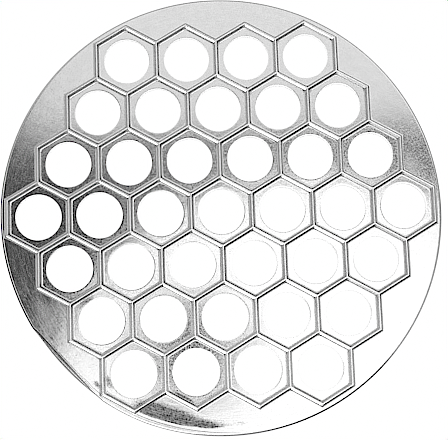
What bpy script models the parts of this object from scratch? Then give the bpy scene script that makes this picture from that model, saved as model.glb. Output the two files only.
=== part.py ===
"""A cast aluminium dumpling mold: one round plate with a turned-down rim.

Its top carries a honeycomb of raised ridges. Each cell of the honeycomb is a
shallow hexagonal pocket with a round hole through its floor. All lengths are
in metres, +Z is up and the origin is under the middle of the rim's foot.
"""

import math

import bmesh
import bpy

# Driving dimensions of the plate and its rim
plate_radius = 0.1225
overall_height = 0.014
plate_thickness = 0.0028
rim_thickness = 0.0026
shoulder_radius = 0.0013
foot_radius = 0.0006
rim_inner_fillet = 0.0022
outer_draft = math.radians(1.0)
inner_draft = math.radians(4.0)

# Driving dimensions of the honeycomb
cell_pitch = 0.0337
cells_in_rows = (4, 5, 6, 7, 6, 5, 4)
ridge_height = 0.00245
ridge_top_width = 0.0009
ridge_base_width = 0.0041
ridge_flank_slope = math.radians(74.0)

# Driving dimensions of the round holes and of the shallow oval lip round each
hole_radius = 0.01262
lip_width = 0.0011
lip_depth = 0.0003

# The place where the casting gate was cut off and ground down
gate_direction = math.radians(-137.0)
gate_half_angle = math.radians(13.0)
gate_depth_at_top = 0.0021
gate_depth_at_foot = 0.0009
gate_flatness = 0.7

# How finely the round shapes are divided
rim_steps = 96
hole_steps = 24
shoulder_segments = 3
foot_segments = 1
inner_segments = 2
lip_segments = 2
fillet_segments = 3

# How far a cutter reaches past the surface that it cuts, and how near points are welded together
overrun = 0.001
weld_distance = 0.00001

# The cast finish, and the turn above which an edge is shaded sharp
metal_colour = (0.83, 0.83, 0.84, 1.0)
metal_roughness = 0.32
sharp_angle = math.radians(35.0)

land_height = overall_height - ridge_height
underside_height = land_height - plate_thickness
quarter_turn = math.pi / 2
hexagon_sides = 6
hexagon_half_angle = math.pi / hexagon_sides


def clear_scene():
    for thing in list(bpy.data.objects):
        bpy.data.objects.remove(thing, do_unlink=True)


def new_collection(name):
    collection = bpy.data.collections.new(name)
    bpy.context.scene.collection.children.link(collection)
    return collection


def add_object(name, mesh, collection):
    thing = bpy.data.objects.new(name, mesh)
    collection.objects.link(thing)
    return thing


def arc(centre_x, centre_z, radius_x, radius_z, start, end, segments):
    """Points on a round or oval arc in the X-Z plane, both ends included."""
    points = []
    for step in range(segments + 1):
        angle = start + (end - start) * step / segments
        points.append((centre_x + radius_x * math.cos(angle), centre_z + radius_z * math.sin(angle)))
    return points


def round_arc(centre_x, centre_z, radius, start, end, segments):
    return arc(centre_x, centre_z, radius, radius, start, end, segments)


def turned_mesh(name, profile, steps):
    """The mesh of a profile in the X-Z plane turned about Z by a Screw modifier."""
    outline = bpy.data.meshes.new(name + "_profile")
    points = [(x, 0.0, z) for x, z in profile]
    edges = [(first, first + 1) for first in range(len(points) - 1)]
    outline.from_pydata(points, edges, [])
    lathe = add_object(name + "_lathe", outline, bpy.context.scene.collection)
    screw = lathe.modifiers.new("turn", "SCREW")
    screw.axis = "Z"
    screw.steps = steps
    screw.render_steps = steps
    screw.use_merge_vertices = True
    screw.merge_threshold = weld_distance
    graph = bpy.context.evaluated_depsgraph_get()
    mesh = bpy.data.meshes.new_from_object(lathe.evaluated_get(graph))
    mesh.name = name
    bpy.data.objects.remove(lathe)
    bpy.data.meshes.remove(outline)
    return mesh


def plate_profile():
    """Half section of the plate and rim, from the axis at the top round to the axis below."""
    shoulder_x = plate_radius - land_height * math.tan(outer_draft) - shoulder_radius
    foot_inside = plate_radius - rim_thickness
    fillet_end_z = underside_height - rim_inner_fillet
    fillet_x = foot_inside - fillet_end_z * math.tan(inner_draft) - rim_inner_fillet
    shoulder_z = land_height - shoulder_radius
    foot_outside = plate_radius - foot_radius
    return (
        [(0.0, land_height)]
        + round_arc(shoulder_x, shoulder_z, shoulder_radius, quarter_turn, 0, shoulder_segments)
        + round_arc(foot_outside, foot_radius, foot_radius, 0, -quarter_turn, foot_segments)
        + round_arc(foot_inside + foot_radius, foot_radius, foot_radius, -quarter_turn, -math.pi, foot_segments)
        + round_arc(fillet_x, fillet_end_z, rim_inner_fillet, 0, quarter_turn, inner_segments)
        + [(0.0, underside_height)]
    )


def grind_gate(mesh):
    """Push the outer side of the rim inwards where the gate was ground off, most at the top."""
    outer_side = plate_radius - rim_thickness + foot_radius
    for vertex in mesh.vertices:
        x, y, z = vertex.co
        radius = math.hypot(x, y)
        turn = (math.atan2(y, x) - gate_direction + math.pi) % math.tau - math.pi
        if radius < outer_side or abs(turn) > gate_half_angle:
            continue
        depth = gate_depth_at_foot + (gate_depth_at_top - gate_depth_at_foot) * z / land_height
        depth *= math.cos(quarter_turn * turn / gate_half_angle) ** gate_flatness
        vertex.co.x = x * (radius - depth) / radius
        vertex.co.y = y * (radius - depth) / radius


def cell_centres():
    """The middles of the cells, row by row, each row half a cell out of step with the next."""
    row_spacing = cell_pitch * math.sqrt(3) / 2
    middle_row = (len(cells_in_rows) - 1) / 2
    centres = []
    for row, count in enumerate(cells_in_rows):
        for column in range(count):
            x = (column - (count - 1) / 2) * cell_pitch
            y = (middle_row - row) * row_spacing
            centres.append((x, y))
    return centres


def ridge_side():
    """One side of a ridge: pairs of the half width and the height above the land, from the foot up.

    A fillet rises from the land to the flank's slope, and the straight flank goes on to the top. The
    fillet's radius is what is left for it by the ridge's width and height.
    """
    sine = math.sin(ridge_flank_slope)
    cosine = math.cos(ridge_flank_slope)
    reach = (ridge_base_width - ridge_top_width) / 2
    radius = (reach * sine - ridge_height * cosine) / (1 - cosine)
    side = []
    for step in range(fillet_segments + 1):
        angle = ridge_flank_slope * step / fillet_segments
        side.append((ridge_base_width / 2 - radius * math.sin(angle), radius * (1 - math.cos(angle))))
    side.append((ridge_top_width / 2, ridge_height))
    return side


def honeycomb_outline(distance):
    """Corners of the honeycomb's zigzag outer edge, walked round leftwards and moved out by a distance."""
    cell_side = cell_pitch / math.sqrt(3)
    headings = []
    for side in range(hexagon_sides):
        for step in range(2 * cells_in_rows[0] - 1):
            headings.append(quarter_turn + 2 * hexagon_half_angle * (side + step % 2))
    x = max(cells_in_rows) * cell_pitch / 2
    y = -cell_side / 2
    shift = distance / (1 + math.cos(2 * hexagon_half_angle))
    points = []
    for before, after in zip(headings[-1:] + headings, headings):
        out_x = math.sin(before) + math.sin(after)
        out_y = -math.cos(before) - math.cos(after)
        points.append((x + shift * out_x, y + shift * out_y))
        x += cell_side * math.cos(after)
        y += cell_side * math.sin(after)
    return points


def ridge_block_mesh():
    """The honeycomb's outer form before its pockets are cut: one block with sloped sides."""
    side = ridge_side()
    block = bmesh.new()
    base = land_height - overrun
    outline = [block.verts.new((x, y, base)) for x, y in honeycomb_outline(side[0][0])]
    bottom = block.faces.new(outline)
    raised = bmesh.ops.extrude_face_region(block, geom=[bottom])["geom"]
    top = [part for part in raised if isinstance(part, bmesh.types.BMFace)]
    bmesh.ops.translate(block, verts=top[0].verts, vec=(0, 0, overrun))
    bmesh.ops.recalc_face_normals(block, faces=block.faces)
    for lower, upper in zip(side, side[1:]):
        bmesh.ops.inset_region(
            block, faces=top, thickness=lower[0] - upper[0], depth=upper[1] - lower[1],
            use_boundary=True, use_even_offset=True,
        )
    mesh = bpy.data.meshes.new("ridge_block")
    block.to_mesh(mesh)
    block.free()
    return mesh


def pocket_profile():
    """Half section of the cutter for a cell's pocket, at a corner of its hexagon."""
    side = ridge_side()
    top_width, top_height = side[-1]
    waist_width, waist_height = side[-2]
    slope = (waist_width - top_width) / (top_height - waist_height)
    side.append((top_width - slope * overrun, top_height + overrun))
    side.reverse()
    corners = []
    for width, height in side:
        corners.append(((cell_pitch / 2 - width) / math.cos(hexagon_half_angle), land_height + height))
    return [(0.0, corners[0][1])] + corners + [(0.0, land_height)]


def hole_profile():
    """Half section of the cutter for a hole, which flares into the rounded lip at the cell's floor."""
    lip_x = hole_radius + lip_width
    lip = arc(lip_x, land_height - lip_depth, lip_width, lip_depth, quarter_turn, math.pi, lip_segments)
    above = overall_height + overrun
    below = underside_height - overrun
    return [(0.0, above), (lip_x, above)] + lip + [(hole_radius, below), (0.0, below)]


def place_cutters(name, mesh, turn):
    """One cutter object over each cell, all in a collection of their own."""
    collection = new_collection(name)
    for number, (x, y) in enumerate(cell_centres(), start=1):
        cutter = add_object(f"{name}_{number:02d}", mesh, collection)
        cutter.location = (x, y, 0)
        cutter.rotation_euler = (0, 0, turn)
        cutter.hide_render = True
        cutter.display_type = "WIRE"
    return collection


def cast_aluminium():
    material = bpy.data.materials.new("cast_aluminium")
    material.use_nodes = True
    shader = material.node_tree.nodes["Principled BSDF"]
    shader.inputs["Base Color"].default_value = metal_colour
    shader.inputs["Metallic"].default_value = 1.0
    shader.inputs["Roughness"].default_value = metal_roughness
    return material


def build_mold_plate(collection):
    """The whole mold is one casting: plate and rim, ridges joined on, pockets and holes cut out."""
    mesh = turned_mesh("mold_plate", plate_profile(), rim_steps)
    grind_gate(mesh)
    plate = add_object("mold_plate", mesh, collection)
    plate.data.materials.append(cast_aluminium())

    blanks = new_collection("blanks")
    block = add_object("ridge_block", ridge_block_mesh(), blanks)
    block.hide_render = True
    block.display_type = "WIRE"
    ridges = plate.modifiers.new("ridges", "BOOLEAN")
    ridges.operation = "UNION"
    ridges.object = block

    pocket = turned_mesh("cell_pocket", pocket_profile(), hexagon_sides)
    pockets = plate.modifiers.new("pockets", "BOOLEAN")
    pockets.operation = "DIFFERENCE"
    pockets.operand_type = "COLLECTION"
    pockets.collection = place_cutters("cell_pockets", pocket, hexagon_half_angle)

    hole = turned_mesh("cell_hole", hole_profile(), hole_steps)
    holes = plate.modifiers.new("holes", "BOOLEAN")
    holes.operation = "DIFFERENCE"
    holes.operand_type = "COLLECTION"
    holes.collection = place_cutters("cell_holes", hole, 0.0)

    for modifier in plate.modifiers:
        modifier.solver = "EXACT"
    return plate


def main():
    clear_scene()
    plate = build_mold_plate(new_collection("dumpling_mold"))
    plate.data.shade_smooth()
    plate.data.set_sharp_from_angle(angle=sharp_angle)


main()
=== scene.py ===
import math

import bmesh
import bpy
import numpy as np
from mathutils import Matrix, Vector


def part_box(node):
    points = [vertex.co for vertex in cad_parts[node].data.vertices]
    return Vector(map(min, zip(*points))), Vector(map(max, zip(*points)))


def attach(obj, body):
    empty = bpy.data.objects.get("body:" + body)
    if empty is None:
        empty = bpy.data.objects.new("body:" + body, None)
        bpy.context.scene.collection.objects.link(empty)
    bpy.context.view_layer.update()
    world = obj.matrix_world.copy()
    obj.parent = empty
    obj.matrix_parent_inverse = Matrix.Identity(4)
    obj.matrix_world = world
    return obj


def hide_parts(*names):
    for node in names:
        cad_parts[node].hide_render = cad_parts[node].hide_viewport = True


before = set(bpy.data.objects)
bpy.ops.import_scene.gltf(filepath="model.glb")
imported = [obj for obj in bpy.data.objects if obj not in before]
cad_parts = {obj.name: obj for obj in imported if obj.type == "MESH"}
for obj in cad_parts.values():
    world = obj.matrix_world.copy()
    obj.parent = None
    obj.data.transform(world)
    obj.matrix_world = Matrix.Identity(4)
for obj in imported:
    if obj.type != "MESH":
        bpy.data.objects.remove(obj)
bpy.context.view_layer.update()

plateLow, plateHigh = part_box("mold_plate")
millimetre = 0.001
quarterTurn = math.pi / 2
hexagonSides = 6
hexHalfAngle = math.pi / hexagonSides
sideHeadings = np.radians([0.0, 60.0, 120.0])  # a cell's sides face these ways, and the opposite ways


# The casting

castMold = {
    "outerRadius": (plateHigh[0] - plateLow[0]) / 2,
    "topHeight": plateHigh[2],
    "plateThickness": 2.8 * millimetre,
    "cellPitch": 33.7 * millimetre,
    "cellsInRows": (4, 5, 6, 7, 6, 5, 4),
    "stepsPerSide": 12,                    # points along each side of a cell
    "weldDistance": 0.004 * millimetre,
    "sharpAngle": math.radians(33.0),
    # The ridges
    "ridgeHeight": 2.45 * millimetre,
    "ridgeTopWidth": 0.80 * millimetre,
    "ridgeFootWidth": 4.0 * millimetre,
    "ridgeFlankSlope": math.radians(70.0),
    "ridgeCrownSlope": math.radians(12.0),  # how far the rolled top tilts at its edges
    "ridgeEdgeRadius": 0.15 * millimetre,
    "crownSegments": 3,
    "edgeSegments": 3,
    "filletSegments": 7,
    # How sharp the corners of a pocket are, as powers of the norm in hexReach: near its top, at its foot and
    # on its floor
    "topCornerSharpness": 400.0,
    "footCornerSharpness": 64.0,
    "floorCornerSharpness": 48.0,
    # The cells' floors and holes
    "floorRings": (0.06, 0.80),            # shares of the way from the ridge's foot to the lip
    "holeRadius": 12.68 * millimetre,
    "lipWidth": 0.4 * millimetre,          # from the hole's wall out to the level floor
    "lipSlope": math.radians(6.0),         # where the lip's long curve meets its tight edge
    "lipEdgeRadius": 0.06 * millimetre,
    "lipSegments": (1, 4),                 # of the long curve and of the tight edge
    "holeFootRadius": 0.35 * millimetre,
    "holeFootSegments": 2,
    "ringBelow": 0.5,                      # how far from the hole's foot to the cell's side a ring lies below
    # The rim
    "rimThickness": 2.6 * millimetre,
    "shoulderRadius": 1.3 * millimetre,
    "shoulderSegments": 7,
    "rimFootRadius": 0.6 * millimetre,
    "rimFootSegments": 4,
    "rimInnerFillet": 2.2 * millimetre,
    "outerDraft": math.radians(1.0),
    "innerDraft": math.radians(4.0),
    "landRings": 10,
    "undersideRings": 5,
    # The place where the casting gate was ground off, and the wider grinding that runs out beside it
    "gateDirection": math.radians(-137.0),
    "gateHalfAngle": math.radians(13.0),
    "gateFlatness": 0.7,                   # power of the cosine window in angleWindow
    "gateDepthAtTop": 1.6 * millimetre,
    "gateDepthAtFoot": 0.1 * millimetre,
    "blendDirection": math.radians(-147.0),
    "blendHalfAngle": math.radians(36.0),
    "blendDepth": 0.9 * millimetre,
    # Where the gate was ground, the lower part of the rim stands out as a narrow step
    "stepDirection": math.radians(-139.0),
    "stepHalfAngle": math.radians(10.5),
    "stepFlatness": 0.5,
    "stepWidth": 1.3 * millimetre,
    "stepFall": 0.04 * millimetre,
    "stepRings": (0.88, 0.35),             # shares of the step's width, measured inwards from its edge
    "stepCorner": 0.3 * millimetre,
    # At the bottom of the rim the land's edge was dressed down to a strip a little lower than the land
    "dressedDirection": math.radians(-110.0),
    "dressedHalfAngle": math.radians(23.0),
    "dressedFlatness": 0.5,
    "dressedWidth": 1.4 * millimetre,
    "dressedRun": 0.45 * millimetre,       # how far out from the land the strip takes to fall
    "dressedFall": 0.36 * millimetre,
}
landHeight = castMold["topHeight"] - castMold["ridgeHeight"]
undersideHeight = landHeight - castMold["plateThickness"]


def arcPoints(centreX, centreZ, radiusX, radiusZ, start, end, segments):
    # An arc in the X-Z plane: the centre plus the two radii times cosine and sine of evenly spaced angles
    angles = np.linspace(start, end, segments + 1)
    return np.stack([centreX + radiusX * np.cos(angles), centreZ + radiusZ * np.sin(angles)], axis=1)


def ridgeProfile():
    # Half of a ridge's section as (distance from its middle line, height): crowned top, small edge round,
    # straight flank, then the arc that touches both the flank and the floor
    top = castMold["topHeight"]
    edge = castMold["ridgeEdgeRadius"]
    slope = castMold["ridgeFlankSlope"]
    crown = castMold["ridgeCrownSlope"]
    crownHalf = castMold["ridgeTopWidth"] / 2 - edge * (1 - math.sin(crown))
    crownRadius = crownHalf / math.sin(crown)
    crowned = arcPoints(0, top - crownRadius, crownRadius, crownRadius,
                        quarterTurn, quarterTurn - crown, castMold["crownSegments"])
    edgeX = crownHalf - edge * math.sin(crown)
    edgeZ = top - crownRadius * (1 - math.cos(crown)) - edge * math.cos(crown)
    rounded = arcPoints(edgeX, edgeZ, edge, edge,
                        quarterTurn - crown, quarterTurn - slope, castMold["edgeSegments"])
    footHalf = castMold["ridgeFootWidth"] / 2
    flankX, flankZ = rounded[-1]
    # The arc's radius follows from the width and the height that it has to take up with the flank
    width = footHalf - flankX
    height = flankZ - landHeight
    radius = (width * math.tan(slope) - height) / (math.sin(slope) * math.tan(slope) - 1 + math.cos(slope))
    fillet = arcPoints(footHalf, landHeight + radius, radius, radius,
                       3 * quarterTurn - slope, 3 * quarterTurn, castMold["filletSegments"])
    return np.concatenate([crowned, rounded[1:], fillet])


def hexReach(angles, sharpness):
    # How far a hexagon of unit apothem reaches: one over the norm of the three side directions' cosines,
    # where a high power gives sharp corners and a lower one rounds them
    sides = np.abs(np.cos(angles[None, :] - sideHeadings[:, None]))
    if math.isinf(sharpness):
        return 1 / sides.max(axis=0)
    return 1 / (sides ** sharpness).sum(axis=0) ** (1 / sharpness)


def innerFilletStart():
    # Radius where the rim's inner fillet meets the underside
    footInside = castMold["outerRadius"] - castMold["rimThickness"]
    fillet = castMold["rimInnerFillet"]
    return footInside - (undersideHeight - fillet) * math.tan(castMold["innerDraft"]) - fillet


def undersideAt(radius):
    # Height of the plain underside: level, then down the rim's inner fillet beyond where that starts
    fillet = castMold["rimInnerFillet"]
    beyond = np.clip(radius - innerFilletStart(), 0, fillet)
    return undersideHeight - fillet + np.sqrt(fillet ** 2 - beyond ** 2)


def lipProfile():
    # Half section of a hole's lip as (radius, height): a long shallow arc that ends at the lip's slope,
    # then a tight arc from that slope to upright
    slope = castMold["lipSlope"]
    edge = castMold["lipEdgeRadius"]
    edgeReach = edge * (1 - math.sin(slope))
    longRadius = (castMold["lipWidth"] - edgeReach) / math.sin(slope)
    outside = castMold["holeRadius"] + castMold["lipWidth"]
    longSegments, tightSegments = castMold["lipSegments"]
    shallow = arcPoints(outside, landHeight - longRadius, longRadius, longRadius,
                        quarterTurn, quarterTurn + slope, longSegments)
    drop = longRadius * (1 - math.cos(slope)) + edge * math.cos(slope)
    tight = arcPoints(castMold["holeRadius"] + edge, landHeight - drop, edge, edge,
                      quarterTurn + slope, math.pi, tightSegments)
    return np.concatenate([shallow, tight[1:]])


def cellStations():
    # Rows of one cell's surface from the crest of its ridge down to the floor, through the hole and back
    # out below, each as (reach, height, roundness, corner sharpness)
    apothem = castMold["cellPitch"] / 2
    foot = castMold["holeFootRadius"]
    footReach = castMold["holeRadius"] + foot
    topSharpness = castMold["topCornerSharpness"]
    footSharpness = castMold["footCornerSharpness"]
    floorSharpness = castMold["floorCornerSharpness"]
    rows = []
    for number, (distance, height) in enumerate(ridgeProfile()):
        # The crown's corners are quite sharp, and below it they lose sharpness with the root of the depth
        if number < castMold["crownSegments"]:
            sharpness = math.inf
        else:
            depth = (castMold["topHeight"] - height) / castMold["ridgeHeight"]
            sharpness = topSharpness + (footSharpness - topSharpness) * math.sqrt(depth)
        rows.append((apothem - distance, height, 0.0, sharpness))
    floorReach = rows[-1][0]
    lipReach = castMold["holeRadius"] + castMold["lipWidth"]
    for share in castMold["floorRings"]:
        rows.append((floorReach + (lipReach - floorReach) * share, landHeight, share, floorSharpness))
    holeFoot = arcPoints(footReach, undersideHeight + foot, foot, foot,
                         math.pi, 3 * quarterTurn, castMold["holeFootSegments"])
    for reach, height in np.concatenate([lipProfile(), holeFoot]):
        rows.append((reach, height, 1.0, floorSharpness))
    share = castMold["ringBelow"]
    rows.append((footReach + (apothem - footReach) * share, undersideHeight, 1 - share, floorSharpness))
    rows.append((apothem, undersideHeight, 0.0, math.inf))
    return rows


def cellCentres():
    # Row by row, each row half a pitch out of step with the next and the rows a half root three apart
    centres = []
    rows = castMold["cellsInRows"]
    for row, count in enumerate(rows):
        for column in range(count):
            x = (column - (count - 1) / 2) * castMold["cellPitch"]
            y = ((len(rows) - 1) / 2 - row) * castMold["cellPitch"] * math.sqrt(3) / 2
            centres.append((x, y))
    return np.array(centres)


def gridFaces(rows, columns, first):
    # Quads between neighbouring rows of points, where each row closes on itself
    row, column = np.meshgrid(np.arange(rows - 1), np.arange(columns), indexing="ij")
    nextColumn = (column + 1) % columns
    corners = [row * columns + column, (row + 1) * columns + column,
               (row + 1) * columns + nextColumn, row * columns + nextColumn]
    return first + np.stack([corner.ravel() for corner in corners], axis=1)


def cellSurfaces():
    # A cell is a function of angle and station: its radius is the station's reach times the hexagon's reach,
    # which the station's roundness blends to 1
    columns = hexagonSides * castMold["stepsPerSide"]
    angles = np.arange(columns) * math.tau / columns
    stations = cellStations()
    rings = []
    for reach, height, roundness, sharpness in stations:
        radius = reach * (hexReach(angles, sharpness) * (1 - roundness) + roundness)
        heights = np.full(columns, height)
        rings.append(np.column_stack([radius * np.cos(angles), radius * np.sin(angles), heights]))
    oneCell = np.concatenate(rings)
    centres = cellCentres()
    points = oneCell[None, :, :] + np.pad(centres, ((0, 0), (0, 1)))[:, None, :]
    lowest = points[:, -columns:, :]
    lowest[:, :, 2] = undersideAt(np.hypot(lowest[:, :, 0], lowest[:, :, 1]))
    faces = [gridFaces(len(stations), columns, number * len(oneCell)) for number in range(len(centres))]
    return points.reshape(-1, 3), np.concatenate(faces)


def honeycombCorners(distance):
    # The zigzag outer edge of the honeycomb: equal steps on headings that turn 60 degrees to and fro, with
    # each corner moved out along the sum of its two edges' normals
    cellSide = castMold["cellPitch"] / math.sqrt(3)
    stepsPerFlank = 2 * castMold["cellsInRows"][0] - 1
    flank, step = np.divmod(np.arange(hexagonSides * stepsPerFlank), stepsPerFlank)
    headings = quarterTurn + 2 * hexHalfAngle * (flank + step % 2)
    start = np.array([max(castMold["cellsInRows"]) * castMold["cellPitch"] / 2, -cellSide / 2])
    steps = cellSide * np.stack([np.cos(headings), np.sin(headings)], axis=1)
    corners = start + np.cumsum(steps, axis=0) - steps
    normals = np.stack([np.sin(headings), -np.cos(headings)], axis=1)
    shift = distance / (1 + math.cos(2 * hexHalfAngle))
    return corners + shift * (normals + np.roll(normals, 1, axis=0))


def honeycombOutline(distance):
    # Points along the zigzag at the same places as the cells' own points: equal angles seen from the middle
    # of a cell
    steps = castMold["stepsPerSide"]
    turn = hexHalfAngle * (2 * np.arange(steps) / steps - 1)
    share = (np.tan(turn) / math.tan(hexHalfAngle) + 1) / 2
    corners = honeycombCorners(distance)
    following = np.roll(corners, -1, axis=0)
    points = corners[:, None, :] * (1 - share)[None, :, None] + following[:, None, :] * share[None, :, None]
    return points.reshape(-1, 2)


def angleWindow(angles, name):
    # 1 in the named direction and 0 from the named half angle on: a quarter wave of the cosine to each side
    turn = (angles - castMold[name + "Direction"] + math.pi) % math.tau - math.pi
    return np.maximum(np.cos(quarterTurn * np.clip(turn / castMold[name + "HalfAngle"], -1, 1)), 0)


def gateDepth(angles, height):
    # How deep the ground gate reaches in: a window over its angle, deeper at the top than at the foot, and a
    # wider and shallower window where the grinding runs out
    share = height / landHeight
    depth = castMold["gateDepthAtFoot"] * (1 - share) + castMold["gateDepthAtTop"] * share
    gate = angleWindow(angles, "gate") ** castMold["gateFlatness"]
    return gate * depth + angleWindow(angles, "blend") * castMold["blendDepth"]


def rimProfile():
    # Three arcs of the rim's section as (radius, height): the shoulder and the foot's outer and inner rounds,
    # where the drafted outer side runs from the first to the second
    radius = castMold["outerRadius"]
    shoulder = castMold["shoulderRadius"]
    foot = castMold["rimFootRadius"]
    footSegments = castMold["rimFootSegments"]
    shoulderX = radius - landHeight * math.tan(castMold["outerDraft"]) - shoulder
    footInside = radius - castMold["rimThickness"]
    return (
        arcPoints(shoulderX, landHeight - shoulder, shoulder, shoulder,
                  quarterTurn, 0, castMold["shoulderSegments"]),
        arcPoints(radius - foot, foot, foot, foot, 0, -quarterTurn, footSegments),
        arcPoints(footInside + foot, foot, foot, foot, -quarterTurn, -math.pi, footSegments),
    )


def rimSurface():
    # One band of points at the zigzag's own angles: out over the outer ridge, across the land to a circle,
    # round the rim and back below to the zigzag
    crest = honeycombOutline(0.0)
    angles = np.arctan2(crest[:, 1], crest[:, 0])
    around = np.stack([np.cos(angles), np.sin(angles)], axis=1)
    rings = []

    def addRing(flat, height):
        rings.append(np.column_stack([flat, np.broadcast_to(height, len(flat))]))

    for distance, height in ridgeProfile():
        addRing(honeycombOutline(distance), height)
    foot = honeycombOutline(castMold["ridgeFootWidth"] / 2)
    shoulder, outerFoot, innerFoot = rimProfile()
    step = angleWindow(angles, "step") ** castMold["stepFlatness"]
    stepWidth = step * castMold["stepWidth"]
    dressed = angleWindow(angles, "dressed") ** castMold["dressedFlatness"]
    edgeRadius = shoulder[0][0] - gateDepth(angles, landHeight) - stepWidth
    landEdge = around * (edgeRadius - dressed * castMold["dressedWidth"])[:, None]
    # Half of one minus a cosine: the rings crowd at both ends, so that smooth shading turns only there
    turns = np.arange(1, castMold["landRings"] + 1) / (castMold["landRings"] + 1)
    for share in (1 - np.cos(math.pi * turns)) / 2:
        addRing(foot * (1 - share) + landEdge * share, landHeight)
    addRing(landEdge, landHeight)
    addRing(landEdge + around * (dressed * castMold["dressedRun"])[:, None],
            landHeight - dressed * castMold["dressedFall"])
    for number, (radius, height) in enumerate(shoulder):
        # The dressed strip lowers the shoulder's start and leaves its end where it is
        fall = dressed * castMold["dressedFall"] * (1 - number / (len(shoulder) - 1))
        addRing(around * (radius - gateDepth(angles, height) - stepWidth)[:, None], height - fall)
    # The step runs out level from below the shoulder to its own corner, and elsewhere it has no width
    outside, stepHeight = shoulder[-1]
    outside = outside - gateDepth(angles, stepHeight)
    for inset in (*castMold["stepRings"], castMold["stepCorner"] / castMold["stepWidth"]):
        addRing(around * (outside - stepWidth * inset)[:, None], stepHeight - castMold["stepFall"] * step)
    addRing(around * outside[:, None], stepHeight - castMold["stepCorner"])
    for radius, height in outerFoot:
        addRing(around * (radius - gateDepth(angles, height))[:, None], height)
    for radius, height in innerFoot[1:]:
        addRing(around * radius, height)
    filletEnd = innerFilletStart() + castMold["rimInnerFillet"]
    crestRadius = np.hypot(crest[:, 0], crest[:, 1])
    for share in np.cos(np.linspace(0, quarterTurn, castMold["undersideRings"] + 1)):
        radius = crestRadius + (filletEnd - crestRadius) * share
        addRing(around * radius[:, None], undersideAt(radius))
    columns = len(crest)
    return np.concatenate(rings), gridFaces(len(rings), columns, 0)[:, ::-1]


waviness = {
    "depth": 0.035 * millimetre,
    "waveLengths": np.array([61.0, 43.0, 34.0, 27.0]) * millimetre,
    "directions": np.radians([20.0, 75.0, 128.0, 163.0]),
    "phases": np.array([0.4, 2.1, 4.0, 5.3]),
}


def addWaviness(points):
    # The casting's slight unevenness: a sum of long sine waves in four directions, in height only
    directions = waviness["directions"]
    along = points[:, 0:1] * np.cos(directions) + points[:, 1:2] * np.sin(directions)
    waves = np.sin(along * math.tau / waviness["waveLengths"] + waviness["phases"])
    points[:, 2] += waviness["depth"] * waves.mean(axis=1) * np.clip(points[:, 2] / landHeight, 0, 1)


surfaceMarks = {
    "skinSlopes": (math.radians(46.0), math.radians(62.0)),  # the dull cast skin is left on the steep flanks
    "flankSlopes": (math.radians(4.0), math.radians(18.0)),  # fillets and flanks are smoother than floors
    # Painted light and shade on the flanks: heading of a flank in degrees, its tone, the tone that this fades
    # to, and along which heading it fades between which two distances in mm
    "flankTones": (
        (-60.0, 0.15, 0.32, 135.0, -10.0, 70.0),
        (-120.0, 1.00, 0.60, 0.0, 45.0, 85.0),
        (180.0, 0.60, 1.00, -90.0, 40.0, 85.0),
        (120.0, 0.50, 0.80, -90.0, 30.0, 80.0),
        (60.0, 0.25, 0.42, -90.0, 50.0, 90.0),
        (0.0, 0.43, 0.95, -90.0, 40.0, 85.0),
    ),
    # the painted tone of flanks that face none of those headings
    "otherTone": 0.5,
    "bareTones": (0.75, 0.95),             # flanks from the first to the second tone lose their skin
    "facing": (0.6, 0.9),                  # cosines of the angle between a flank and one of those headings
    "rolledBelowTop": (0.35 * millimetre, 0.08 * millimetre),  # the rolling pin polished what is this near
    "drilledWithin": 0.2 * millimetre,     # how near to a hole's radius its drilled wall lies
    "landBeyond": (17.6 * millimetre, 19.4 * millimetre),      # reach from the nearest cell's middle
    "ridgeAboveLand": 0.2 * millimetre,
    # How plainly the land is brushed: angle from the right in degrees and share
    "brushing": (
        (-180, 1.0), (-80, 1.0), (-40, 0.5), (0, 0.1), (35, 0.1), (60, 0.4), (140, 0.4), (165, 0.7),
        (180, 1.0),
    ),
}

# Painted shade in the foot of the bare flanks that face one way: their heading, its depth, and the slopes
# between which it comes and goes
paintedFootShade = {
    "heading": math.radians(-120.0),
    "depth": 0.72,
    "comes": (math.radians(16.0), math.radians(26.0)),
    "goes": (math.radians(46.0), math.radians(56.0)),
}

# Painted shade on the shoulder of the rim, darker at some angles round it
paintedEdgeShade = {
    # Angle from the right in degrees and depth
    "depths": (
        (-180, 0.75), (-168, 0.95), (-150, 1.0), (-140, 0.9), (-128, 0.6), (-116, 0.2), (-95, 0.15),
        (-82, 0.4), (-70, 0.9), (-47, 0.9), (-40, 0.15), (-14, 0.2), (0, 0.45), (27, 0.35), (42, 0.15),
        (90, 0.05), (146, 0.05), (160, 0.4), (180, 0.75),
    ),
    "slopes": (math.radians(14.0), math.radians(38.0)),
    "belowLand": 1.75 * millimetre,
    "fromOutside": 5.0 * millimetre,
}

stainWiped = (117.2 * millimetre, 118.6 * millimetre)  # the radii between which the stains come to an end

# Stains and rubbed patches: x and y of the middle, half length and half width in mm, heading in degrees and
# depth
stains = (
    (-42.0, -108.0, 9.0, 4.4, -22.0, 1.3),
    (-28.0, -113.2, 12.0, 4.2, -15.0, 1.3),
    (-12.0, -116.3, 9.0, 2.6, -8.0, 0.9),
    (-30.0, -108.0, 13.0, 3.6, -20.0, 0.4),
    (4.0, -115.5, 12.0, 1.4, 1.0, 0.3),
    (-77.0, -92.6, 5.5, 2.0, -41.0, 0.85),
    (-70.2, -92.5, 3.5, 1.6, -42.0, 0.5),
    (-64.2, -92.0, 5.0, 1.5, -75.0, 0.7),
    (-36.8, -84.5, 1.6, 7.0, 0.0, 0.6),
    (-24.0, -100.6, 8.0, 0.7, -30.0, 0.9),
    (-75.5, -47.0, 5.5, 2.0, 33.0, 0.55),
    (-85.0, -57.0, 16.0, 10.0, -55.0, 0.25),
    (-100.0, -52.0, 14.0, 4.0, -68.0, 0.3),
    (107.0, 22.0, 13.0, 7.0, 100.0, 0.3),
)


# The least level part of a normal, so that an upright one isn't divided by nothing
leastLevel = 1e-6


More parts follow.
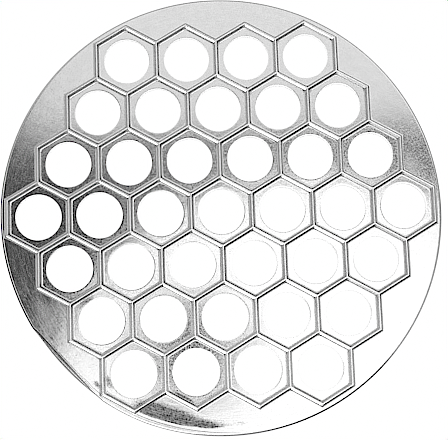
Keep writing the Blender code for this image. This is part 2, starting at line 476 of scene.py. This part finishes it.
def smoothStep(values, start, full):
    # 0 before the start and 1 after the full value, with a cubic between
    share = np.clip((values - start) / (full - start), 0, 1)
    return share * share * (3 - 2 * share)


def facingShare(normals, heading):
    # How far a surface faces a heading: a smooth step of the cosine between that and its own heading
    level = np.maximum(np.hypot(normals[:, 0], normals[:, 1]), leastLevel)
    cosine = (normals[:, 0] * math.cos(heading) + normals[:, 1] * math.sin(heading)) / level
    return smoothStep(cosine, *surfaceMarks["facing"])


def paintFlankShading(points, normals):
    # Painted light and shade: each flank takes the tone of its heading, which fades to another tone across
    # the mold
    shadingTones = np.full(len(points), surfaceMarks["otherTone"])
    for heading, tone, farTone, fadeHeading, fadeStart, fadeFull in surfaceMarks["flankTones"]:
        fade = math.radians(fadeHeading)
        distance = (points[:, 0] * math.cos(fade) + points[:, 1] * math.sin(fade)) / millimetre
        here = tone + (farTone - tone) * smoothStep(distance, fadeStart, fadeFull)
        shadingTones += (here - surfaceMarks["otherTone"]) * facingShare(normals, math.radians(heading))
    return shadingTones


def stainDepth(points):
    # The sum of oval bells: each its depth times e to the minus squared distance, in the oval's half sizes
    total = np.zeros(len(points))
    for x, y, halfLength, halfWidth, heading, depth in stains:
        along = np.array([math.cos(math.radians(heading)), math.sin(math.radians(heading))])
        across = np.array([-along[1], along[0]])
        away = points[:, :2] / millimetre - (x, y)
        squaredDistance = (away @ along / halfLength) ** 2 + (away @ across / halfWidth) ** 2
        total += depth * np.exp(-squaredDistance)
    return total * (1 - smoothStep(np.hypot(points[:, 0], points[:, 1]), *stainWiped))


def paintedShadeDepth(points, normals, slope):
    # The deeper of two painted shades: in the foot of the flanks of one heading, and on the rim's shoulder by
    # the angle round it
    footShade = facingShare(normals, paintedFootShade["heading"]) * paintedFootShade["depth"]
    footShade *= smoothStep(slope, *paintedFootShade["comes"]) * (1 - smoothStep(slope, *paintedFootShade["goes"]))
    footShade *= points[:, 2] > landHeight
    turn = np.degrees(np.arctan2(points[:, 1], points[:, 0]))
    edgeShade = np.interp(turn, *zip(*paintedEdgeShade["depths"])) * smoothStep(slope, *paintedEdgeShade["slopes"])
    edgeShade *= (points[:, 2] > landHeight - paintedEdgeShade["belowLand"]) & (points[:, 2] < landHeight)
    edgeShade *= np.hypot(points[:, 0], points[:, 1]) > castMold["outerRadius"] - paintedEdgeShade["fromOutside"]
    return np.maximum(footShade, edgeShade)


def vertexValues(mesh, name):
    # A property of all vertices with three numbers each, as rows
    values = np.empty(3 * len(mesh.vertices))
    mesh.vertices.foreach_get(name, values)
    return values.reshape(-1, 3)


def markSurface(mesh):
    # Writes a share from 0 to 1 for each kind of surface at every point, for the finish to read
    points = vertexValues(mesh, "co")
    normals = vertexValues(mesh, "normal")
    slope = np.arccos(np.clip(normals[:, 2], -1, 1))
    radius = np.hypot(points[:, 0], points[:, 1])
    angles = np.degrees(np.arctan2(points[:, 1], points[:, 0]))
    away = points[:, None, :2] - cellCentres()[None, :, :]
    fromHole = np.abs(np.hypot(away[:, :, 0], away[:, :, 1]) - castMold["holeRadius"]).min(axis=1)
    drilled = fromHole < surfaceMarks["drilledWithin"]
    # How far out the nearest cell's hexagon would have to reach to hold the point
    reach = np.abs(away @ np.stack([np.cos(sideHeadings), np.sin(sideHeadings)])).max(axis=2).min(axis=1)
    ridge = points[:, 2] > landHeight + surfaceMarks["ridgeAboveLand"]
    below = points[:, 2] < (landHeight + undersideHeight) / 2
    underside = below & (radius < castMold["outerRadius"] - castMold["rimThickness"] / 2) & ~drilled
    # Painted light and shade on the flanks by their heading, carried by the cast skin of the steep ones
    shadingTones = paintFlankShading(points, normals)
    shadedSkin = smoothStep(slope, *surfaceMarks["skinSlopes"]) * ridge
    rolledStart, rolledFull = (castMold["topHeight"] - depth for depth in surfaceMarks["rolledBelowTop"])
    brushed = np.interp(angles, *zip(*surfaceMarks["brushing"]))
    marks = {
        "flank": smoothStep(slope, *surfaceMarks["flankSlopes"]) * (points[:, 2] > landHeight) * ~drilled,
        "castSkinAndShading": shadedSkin * (1 - smoothStep(shadingTones, *surfaceMarks["bareTones"])),
        "flankShading": shadingTones,
        "rolled": smoothStep(points[:, 2], rolledStart, rolledFull),
        "land": smoothStep(reach, *surfaceMarks["landBeyond"]) * ~underside * brushed,
        "stain": stainDepth(points) * ~(underside | ridge),
        # painted shade in the foot of the flanks and on the rim's shoulder
        "dirt": paintedShadeDepth(points, normals, slope),
        "drilled": drilled,
        "underside": underside,
    }
    for name, values in marks.items():
        mesh.attributes.new(name, "FLOAT", "POINT").data.foreach_set("value", values.astype(np.float32))
    print("surface marks:", ", ".join(marks))


def buildCastMold(material):
    cellPoints, cellFaces = cellSurfaces()
    rimPoints, rimFaces = rimSurface()
    points = np.concatenate([cellPoints, rimPoints])
    faces = np.concatenate([cellFaces, rimFaces + len(cellPoints)])
    addWaviness(points)
    mesh = bpy.data.meshes.new("castMold")
    mesh.from_pydata(points.tolist(), [], faces.tolist())
    shape = bmesh.new()
    shape.from_mesh(mesh)
    bmesh.ops.remove_doubles(shape, verts=shape.verts, dist=castMold["weldDistance"])
    bmesh.ops.recalc_face_normals(shape, faces=shape.faces)
    openEdges = sum(1 for edge in shape.edges if len(edge.link_faces) != 2)
    shape.to_mesh(mesh)
    shape.free()
    mesh.shade_smooth()
    mesh.set_sharp_from_angle(angle=castMold["sharpAngle"])
    markSurface(mesh)
    mold = bpy.data.objects.new("castMold", mesh)
    bpy.context.scene.collection.objects.link(mold)
    mesh.materials.append(material)
    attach(mold, "root")
    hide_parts("mold_plate")
    mesh.calc_loop_triangles()
    print("cast mold:", len(mesh.vertices), "points,", len(mesh.loop_triangles), "triangles,",
          openEdges, "open edges")


# The finish

def addNode(tree, kind, **values):
    # A node with its settings and the values of its sockets, sockets by name with spaces left out
    node = tree.nodes.new(kind)
    sockets = {socket.name.replace(" ", ""): socket for socket in reversed(node.inputs)}
    for name, value in values.items():
        if name in sockets:
            sockets[name].default_value = value
        else:
            setattr(node, name, value)
    return node


def mathNode(tree, operation, first, second):
    # A Math node on two sockets or numbers; gives its output socket
    node = addNode(tree, "ShaderNodeMath", operation=operation)
    for socket, value in zip(node.inputs, (first, second)):
        if isinstance(value, bpy.types.NodeSocket):
            tree.links.new(value, socket)
        else:
            socket.default_value = value
    return node.outputs["Value"]


# A Mix node has sockets for every type of data: those of the share, both values and the result, by number
mixSockets = {"FLOAT": (0, 2, 3, 0), "RGBA": (0, 6, 7, 2)}


def blendNode(tree, share, first, second, kind="FLOAT"):
    # Between two values, sockets or numbers, by a share from 0 to 1; gives the output socket
    node = addNode(tree, "ShaderNodeMix", data_type=kind)
    *inputs, result = mixSockets[kind]
    for number, value in zip(inputs, (share, first, second)):
        if isinstance(value, bpy.types.NodeSocket):
            tree.links.new(value, node.inputs[number])
        else:
            node.inputs[number].default_value = value
    return node.outputs[result]


def rangeNode(tree, value, fromRange, toRange):
    # A value carried from one range to another and kept inside it
    node = addNode(tree, "ShaderNodeMapRange", FromMin=fromRange[0], FromMax=fromRange[1],
                   ToMin=toRange[0], ToMax=toRange[1])
    tree.links.new(value, node.inputs["Value"])
    return node.outputs["Result"]


# How many finer layers a noise has
noiseDetails = {"plain": 1.0, "fine": 2.0, "ragged": 3.0}


def noiseNode(tree, place, size, kind):
    # Noise with features of a given size in metres, about 0.5 on average
    node = addNode(tree, "ShaderNodeTexNoise", Scale=1 / size, Detail=noiseDetails[kind])
    tree.links.new(place, node.inputs["Vector"])
    return node.outputs["Fac"]


finish = {
    "floorTone": 0.88,
    "rolledTone": 0.98,
    "drilledTone": 0.98,
    # the painted shade in the foot of the flanks and on the rim's shoulder
    "dirtTone": 0.03,
    "stainTones": (0.03, 0.45),            # at the lowest and the highest of its noise
    "stainReach": 1.3,                     # how high a stain of full depth stands against its noise
    "stainEdge": (-0.25, 0.40),            # how far above the noise a stain begins and is full
    "crumbSize": 0.8 * millimetre,         # of the stain's own fine noise
    "crumbRange": (0.38, 0.62),
    "crumbShare": 0.5,                     # the rest of a stain's noise is the grain and speckle below it
    "undersideTone": 0.50,
    "pitTone": 0.25,
    "speckleSize": 0.9 * millimetre,
    "speckleTones": (0.96, 1.04),          # times the tone, at the darkest and the lightest of the speckle
    "skinSpeckle": (0.9, 1.1),             # the same on the cast skin of the flanks
    "fleckSize": 0.75 * millimetre,
    "fleckRange": (0.58, 0.74),            # the noise's values from no fleck to a full one
    "fleckRoughness": 0.245,
    "cloudSize": 6.0 * millimetre,
    "cloudTones": (0.98, 1.02),
    "brushedShare": 0.65,                  # how much the brushing outweighs the speckle on the land
    "grainWidth": 0.60 * millimetre,
    "grainLength": 11.0 * millimetre,      # the brushing runs round the land
    "grainTones": (0.93, 1.05),
    "noiseRange": (0.32, 0.68),            # where the noises have nearly all their values
    "smoothRoughness": 0.085,
    "dullRoughness": 0.215,
    "rolledRoughness": 0.30,
    "drilledRoughness": 0.12,
    "flankRoughness": 0.16,
    "skinRoughness": 0.42,
    "stainRoughness": 0.50,
    "undersideRoughness": 0.62,
    "speckleDepth": 0.010 * millimetre,
    "dimpleSize": 4.2 * millimetre,
    "dimpleDepth": 0.020 * millimetre,
    "grainDepth": 0.008 * millimetre,
    "pitSpacing": 9.0 * millimetre,
    "pitRadius": 0.055,                    # in spacings
    "pitShare": 0.72,                      # pits are left out where a random share is below this
    "pitDepth": 0.05 * millimetre,
}


def grainNode(tree, place):
    # Brushed grain that runs round the land: noise on the direction from the middle, times how many grain
    # lengths go into the rim's radius, and on the radius less the height, counted in grain widths
    flat = addNode(tree, "ShaderNodeVectorMath", operation="MULTIPLY")
    flat.inputs[1].default_value = (1.0, 1.0, 0.0)
    tree.links.new(place, flat.inputs[0])
    radius = addNode(tree, "ShaderNodeVectorMath", operation="LENGTH")
    tree.links.new(flat.outputs["Vector"], radius.inputs[0])
    direction = addNode(tree, "ShaderNodeVectorMath", operation="NORMALIZE")
    tree.links.new(flat.outputs["Vector"], direction.inputs[0])
    around = addNode(tree, "ShaderNodeVectorMath", operation="SCALE")
    around.inputs["Scale"].default_value = castMold["outerRadius"] / finish["grainLength"]
    tree.links.new(direction.outputs["Vector"], around.inputs[0])
    parts = addNode(tree, "ShaderNodeSeparateXYZ")
    tree.links.new(place, parts.inputs["Vector"])
    across = mathNode(tree, "SUBTRACT", radius.outputs["Value"], parts.outputs["Z"])
    across = mathNode(tree, "DIVIDE", across, finish["grainWidth"])
    lift = addNode(tree, "ShaderNodeCombineXYZ")
    tree.links.new(across, lift.inputs["Z"])
    grainPlace = addNode(tree, "ShaderNodeVectorMath", operation="ADD")
    tree.links.new(around.outputs["Vector"], grainPlace.inputs[0])
    tree.links.new(lift.outputs["Vector"], grainPlace.inputs[1])
    return noiseNode(tree, grainPlace.outputs["Vector"], 1.0, "fine")


def pitNode(tree, place):
    # A pit is the middle of a Voronoi cell, deepest within half its radius, and kept only where the cell's
    # random colour is high enough
    cells = addNode(tree, "ShaderNodeTexVoronoi", Scale=1 / finish["pitSpacing"])
    tree.links.new(place, cells.inputs["Vector"])
    radius = finish["pitRadius"]
    hollow = rangeNode(tree, cells.outputs["Distance"], (radius, radius / 2), (0.0, 1.0))
    chance = addNode(tree, "ShaderNodeSeparateColor")
    tree.links.new(cells.outputs["Color"], chance.inputs["Color"])
    kept = mathNode(tree, "GREATER_THAN", chance.outputs["Red"], finish["pitShare"])
    return mathNode(tree, "MULTIPLY", hollow, kept)


def castAluminium():
    material = bpy.data.materials.new("castAluminium")
    material.use_nodes = True
    tree = material.node_tree
    shader = tree.nodes["Principled BSDF"]
    shader.inputs["Metallic"].default_value = 1.0
    place = addNode(tree, "ShaderNodeTexCoord").outputs["Object"]
    marks = {}
    for name in ("flank", "castSkinAndShading", "flankShading", "rolled", "dirt", "drilled", "land", "stain", "underside"):
        marks[name] = addNode(tree, "ShaderNodeAttribute", attribute_name=name).outputs["Fac"]
    noiseRange = finish["noiseRange"]
    speckle = noiseNode(tree, place, finish["speckleSize"], "fine")
    cloud = noiseNode(tree, place, finish["cloudSize"], "plain")
    dimples = noiseNode(tree, place, finish["dimpleSize"], "plain")
    grain = grainNode(tree, place)
    pits = pitNode(tree, place)
    brushed = mathNode(tree, "MULTIPLY", marks["land"], finish["brushedShare"])
    texture = blendNode(tree, brushed, speckle, grain)

    # Tone
    tone = blendNode(tree, marks["rolled"], finish["floorTone"], finish["rolledTone"])
    tone = mathNode(tree, "MULTIPLY", tone, rangeNode(tree, speckle, noiseRange, finish["speckleTones"]))
    tone = mathNode(tree, "MULTIPLY", tone, rangeNode(tree, cloud, noiseRange, finish["cloudTones"]))
    grainTone = rangeNode(tree, grain, noiseRange, finish["grainTones"])
    tone = mathNode(tree, "MULTIPLY", tone, blendNode(tree, marks["land"], 1.0, grainTone))
    # Painted light and shade on the steep flanks by their heading, with speckle, where the cast skin is left
    skinSpeckle = rangeNode(tree, speckle, noiseRange, finish["skinSpeckle"])
    shadedSkin = mathNode(tree, "MULTIPLY", marks["flankShading"], skinSpeckle)
    tone = blendNode(tree, marks["castSkinAndShading"], tone, shadedSkin)
    tone = blendNode(tree, marks["drilled"], tone, finish["drilledTone"])
    tone = blendNode(tree, marks["underside"], tone, finish["undersideTone"])
    # A stain shows where its depth is above a ragged level of its own fine noise and of the grain
    crumbs = noiseNode(tree, place, finish["crumbSize"], "ragged")
    level = blendNode(tree, finish["crumbShare"], texture, crumbs)
    reach = mathNode(tree, "MULTIPLY", marks["stain"], finish["stainReach"])
    stained = rangeNode(tree, mathNode(tree, "SUBTRACT", reach, level), finish["stainEdge"], (0.0, 1.0))
    stainTone = rangeNode(tree, level, finish["crumbRange"], finish["stainTones"])
    tone = blendNode(tree, stained, tone, stainTone)
    tone = blendNode(tree, pits, tone, finish["pitTone"])
    # Painted shade in the foot of one heading's flanks and on the rim's shoulder
    tone = blendNode(tree, marks["dirt"], tone, finish["dirtTone"])
    tree.links.new(tone, shader.inputs["Base Color"])

    # Roughness
    rough = rangeNode(tree, texture, noiseRange, (finish["smoothRoughness"], finish["dullRoughness"]))
    fleckNoise = noiseNode(tree, place, finish["fleckSize"], "plain")
    flecks = rangeNode(tree, fleckNoise, finish["fleckRange"], (0.0, 1.0))
    rough = blendNode(tree, flecks, rough, finish["fleckRoughness"])
    rough = blendNode(tree, marks["rolled"], rough, finish["rolledRoughness"])
    rough = blendNode(tree, marks["flank"], rough, finish["flankRoughness"])
    rough = blendNode(tree, marks["castSkinAndShading"], rough, finish["skinRoughness"])
    rough = blendNode(tree, marks["drilled"], rough, finish["drilledRoughness"])
    rough = blendNode(tree, stained, rough, finish["stainRoughness"])
    rough = blendNode(tree, marks["underside"], rough, finish["undersideRoughness"])
    tree.links.new(rough, shader.inputs["Roughness"])

    # Fine relief in metres, none of it on the flanks but the pits
    height = mathNode(tree, "MULTIPLY", speckle, finish["speckleDepth"])
    height = mathNode(tree, "ADD", height, mathNode(tree, "MULTIPLY", dimples, finish["dimpleDepth"]))
    grainOnLand = mathNode(tree, "MULTIPLY", grain, marks["land"])
    height = mathNode(tree, "ADD", height, mathNode(tree, "MULTIPLY", grainOnLand, finish["grainDepth"]))
    height = blendNode(tree, marks["flank"], height, 0.0)
    height = mathNode(tree, "SUBTRACT", height, mathNode(tree, "MULTIPLY", pits, finish["pitDepth"]))
    bump = addNode(tree, "ShaderNodeBump", Distance=1.0)
    tree.links.new(height, bump.inputs["Height"])
    tree.links.new(bump.outputs["Normal"], shader.inputs["Normal"])
    print("finish:", len(tree.nodes), "nodes")
    return material


# The studio

floorSettings = {
    "size": 6.0,
    "glow": 1.0,
    "mirroredGlow": 0.6,                   # how bright the mold's outer side sees it
    # Below the mold the floor glows fully, for the hole walls: from none of it to all, in radii of the rim
    "litBelowMold": (0.985, 0.955),
}


def emissionMaterial(name, glow):
    # A surface that only glows; gives the material, its tree and the emission node
    material = bpy.data.materials.new(name)
    material.use_nodes = True
    tree = material.node_tree
    tree.nodes.remove(tree.nodes["Principled BSDF"])
    emission = addNode(tree, "ShaderNodeEmission", Strength=glow)
    tree.links.new(emission.outputs["Emission"], tree.nodes["Material Output"].inputs["Surface"])
    return material, tree, emission


def stageMesh(name, points, faces, material):
    mesh = bpy.data.meshes.new(name)
    mesh.from_pydata(points, [], faces)
    mesh.materials.append(material)
    thing = bpy.data.objects.new(name, mesh)
    bpy.context.scene.collection.objects.link(thing)
    return thing


def buildFloor():
    # The floor glows fully for the camera and below the mold, and less in what the mold's outside mirrors
    half = floorSettings["size"] / 2
    material, tree, emission = emissionMaterial("paleFloor", floorSettings["glow"])
    place = addNode(tree, "ShaderNodeTexCoord").outputs["Object"]
    radius = addNode(tree, "ShaderNodeVectorMath", operation="LENGTH")
    tree.links.new(place, radius.inputs[0])
    edges = [share * castMold["outerRadius"] for share in floorSettings["litBelowMold"]]
    below = rangeNode(tree, radius.outputs["Value"], edges, (0.0, 1.0))
    seen = addNode(tree, "ShaderNodeLightPath").outputs["Is Camera Ray"]
    lit = mathNode(tree, "MAXIMUM", below, seen)
    glow = blendNode(tree, lit, floorSettings["mirroredGlow"], floorSettings["glow"])
    tree.links.new(glow, emission.inputs["Strength"])
    points = [(-half, -half, 0), (half, -half, 0), (half, half, 0), (-half, half, 0)]
    stageMesh("paleFloor", points, [(0, 1, 2, 3)], material)
    print("floor:", floorSettings["size"], "m wide")


# Each soft light's middle and size in metres, and how bright it looks
softLights = {
    "keyDisc": {
        "place": (0.117, -0.194, 0.600), "size": (0.648, 0.648), "shape": "ELLIPSE", "glow": 1.085,
    },
    "backPanel": {
        "place": (0.175, 0.348, 0.600), "size": (0.770, 0.330), "shape": "RECTANGLE", "glow": 0.64,
    },
    "sideCard": {
        "place": (-0.400, -0.640, 0.520), "size": (0.640, 0.640), "shape": "ELLIPSE", "glow": 1.5,
    },
    "leftCard": {
        "place": (-0.440, 0.010, 0.595), "size": (0.220, 0.400), "shape": "RECTANGLE", "glow": 0.58,
    },
}

# What the mold mirrors between the lights: a dark flag over its left side and the camera's own dark front
darkDiscs = {
    # Glow in the middle, up to the inner radius, and at the edge
    "leftFlag": {"place": (-0.216, 0.046, 0.602), "radii": (0.100, 0.140), "glows": (0.065, 0.17)},
    "cameraFront": {"place": (-0.028, -0.060, 0.597), "radii": (0.020, 0.080), "glows": (0.02, 1.085)},
}
discSteps = 48

# Brightness of the surroundings by height: sine of the elevation, then glow
worldStops = ((0.0, 0.35), (0.12, 0.45), (0.35, 0.55), (0.86, 0.5), (0.93, 0.16))


def buildPanels():
    # Each panel faces straight down or, well beside the mold, the mold's middle, and its power is its glow
    # times pi times its area
    for name, panel in softLights.items():
        light = bpy.data.lights.new(name, "AREA")
        light.shape = panel["shape"]
        width, length = panel["size"]
        light.size = width
        light.size_y = length
        area = width * length
        if panel["shape"] == "ELLIPSE":
            area *= math.pi / 4
        light.energy = panel["glow"] * math.pi * area
        lamp = bpy.data.objects.new(name, light)
        lamp.location = panel["place"]
        if math.hypot(*panel["place"][:2]) > panel["place"][2]:
            lamp.rotation_euler = (-Vector(panel["place"])).to_track_quat("-Z", "Y").to_euler()
        bpy.context.scene.collection.objects.link(lamp)


def buildDiscs():
    # Flat round faces, whose glow changes with the distance from their middle
    for name, disc in darkDiscs.items():
        # The ring runs clockwise, so that the disc faces down
        angles = -np.arange(discSteps) * math.tau / discSteps
        ring = np.column_stack([np.cos(angles), np.sin(angles), np.zeros(discSteps)]) * disc["radii"][1]
        material, tree, emission = emissionMaterial(name, disc["glows"][0])
        away = addNode(tree, "ShaderNodeVectorMath", operation="DISTANCE")
        tree.links.new(addNode(tree, "ShaderNodeTexCoord").outputs["Object"], away.inputs[0])
        away.inputs[1].default_value = disc["place"]
        glow = rangeNode(tree, away.outputs["Value"], disc["radii"], disc["glows"])
        tree.links.new(glow, emission.inputs["Strength"])
        points = (ring + disc["place"]).tolist()
        stageMesh(name, points, [list(range(discSteps))], material).visible_camera = False


def buildSurroundings():
    # A grey that changes with the height, and plain white for the camera itself
    world = bpy.data.worlds.new("studio")
    world.use_nodes = True
    tree = world.node_tree
    parts = addNode(tree, "ShaderNodeSeparateXYZ")
    ramp = addNode(tree, "ShaderNodeValToRGB")
    stops = ramp.color_ramp.elements
    for number, (place, glow) in enumerate(worldStops):
        # A new ramp has two stops already
        stop = stops[number] if number < 2 else stops.new(place)
        stop.position = place
        stop.color = (glow, glow, glow, 1.0)
    tree.links.new(addNode(tree, "ShaderNodeTexCoord").outputs["Generated"], parts.inputs["Vector"])
    tree.links.new(parts.outputs["Z"], ramp.inputs["Fac"])
    seen = addNode(tree, "ShaderNodeLightPath").outputs["Is Camera Ray"]
    colour = blendNode(tree, seen, ramp.outputs["Color"], (1.0, 1.0, 1.0, 1.0), "RGBA")
    tree.links.new(colour, tree.nodes["Background"].inputs["Color"])
    bpy.context.scene.world = world


def buildLights():
    buildPanels()
    buildDiscs()
    buildSurroundings()
    print("lights:", len(softLights), "panels and", len(darkDiscs), "dark discs")


# Where the camera stands and what it looks at, in metres, the direction that is up in the image, and the lens
# and sensor in mm
cameraSettings = {
    "place": (-0.01297, -0.09025, 0.59296),
    "aim": (0.00106, -0.00487, 0.01155),
    "imageUp": (0.0328, 0.98878, 0.14552),
    "lens": 85.42,
    "sensor": 36.0,
}


def buildCamera():
    # The camera's axes are right, up and backward, each at right angles to the others
    place = Vector(cameraSettings["place"])
    backward = (place - Vector(cameraSettings["aim"])).normalized()
    right = Vector(cameraSettings["imageUp"]).cross(backward).normalized()
    up = backward.cross(right)
    lens = bpy.data.cameras.new("photoView")
    lens.lens = cameraSettings["lens"]
    lens.sensor_width = cameraSettings["sensor"]
    camera = bpy.data.objects.new("photoView", lens)
    turned = Matrix((right, up, backward)).transposed().to_4x4()
    camera.matrix_world = Matrix.Translation(place) @ turned
    bpy.context.scene.collection.objects.link(camera)
    bpy.context.scene.camera = camera
    print("camera:", cameraSettings["lens"], "mm lens")


sharpening = 0.12


def sharpenImage():
    # The image is sharpened a little, as pictures in catalogues are
    scene = bpy.context.scene
    scene.use_nodes = True
    tree = scene.node_tree
    tree.nodes.clear()
    layers = tree.nodes.new("CompositorNodeRLayers")
    sharpen = tree.nodes.new("CompositorNodeFilter")
    sharpen.filter_type = "SHARPEN"
    sharpen.inputs["Fac"].default_value = sharpening
    output = tree.nodes.new("CompositorNodeComposite")
    tree.links.new(layers.outputs["Image"], sharpen.inputs["Image"])
    tree.links.new(sharpen.outputs["Image"], output.inputs["Image"])
    print("image: sharpened by", sharpening)


buildCamera()
sharpenImage()
buildFloor()
buildLights()
bpy.context.scene.view_settings.view_transform = "Standard"
buildCastMold(castAluminium())
